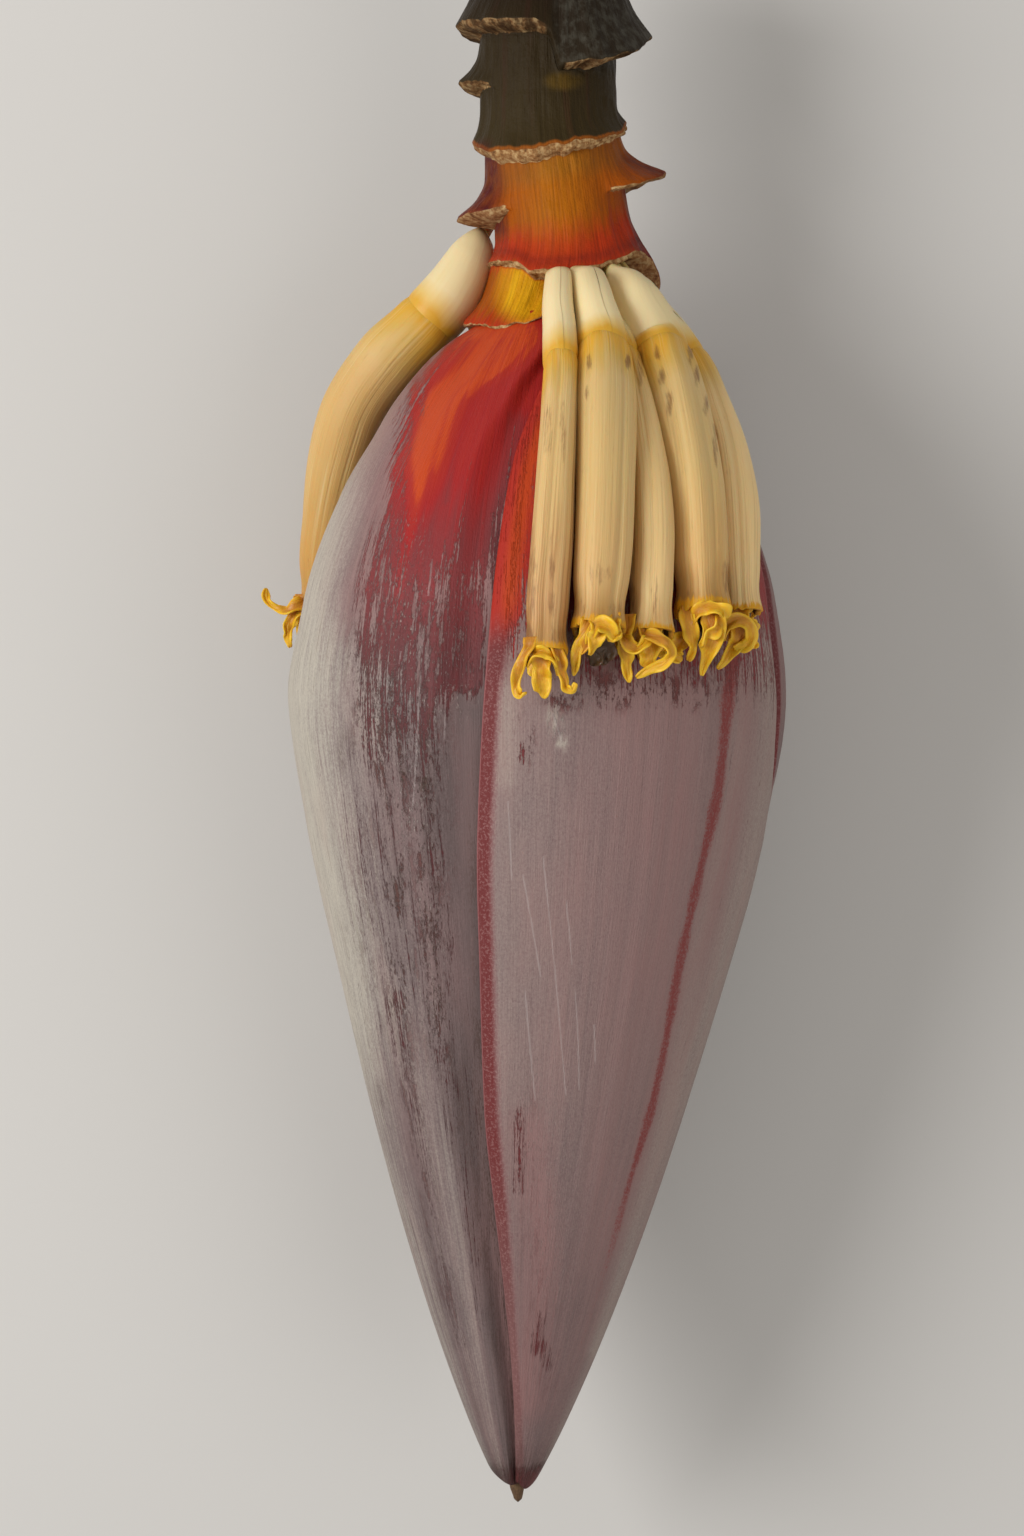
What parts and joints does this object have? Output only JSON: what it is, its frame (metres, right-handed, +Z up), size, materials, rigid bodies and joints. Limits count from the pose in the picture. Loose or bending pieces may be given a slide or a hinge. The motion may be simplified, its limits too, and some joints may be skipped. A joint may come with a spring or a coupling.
{
  "type": "banana blossom",
  "caption": "Heart-shaped banana blossom lying on its back: overlapping waxy bracts round a packed bud, a hand of male flowers on its shoulder, and a cut, scar-ringed stalk.",
  "frame": {"origin": "On the resting surface, under the centre of the whole blossom's bounding box.", "axes": "+Y along the blossom from its tip towards the cut end of its stalk, +X to its right seen from above with the stalk away, +Z up."},
  "size_m": [0.089, 0.2848, 0.0968],
  "materials": {
    "stalk_skin": "satin",
    "bract_skin": "satin",
    "dry_tip": "matte",
    "ovary_skin": "satin",
    "tepal_skin": "satin"
  },
  "bodies": {
    "root": {"stalk": "stalk_skin", "inner_bud": "dry_tip", "bract_left": "bract_skin", "bract_right": "bract_skin", "bract_back": "bract_skin", "flower_1_ovary": "ovary_skin", "flower_2_ovary": "ovary_skin", "flower_3_ovary": "ovary_skin", "flower_4_ovary": "ovary_skin", "flower_5_ovary": "ovary_skin", "flower_left_ovary": "ovary_skin", "flower_1_tepals": "tepal_skin", "flower_2_tepals": "tepal_skin", "flower_3_tepals": "tepal_skin", "flower_4_tepals": "tepal_skin", "flower_5_tepals": "tepal_skin", "flower_left_tepals": "tepal_skin"}
  },
  "joints": []
}
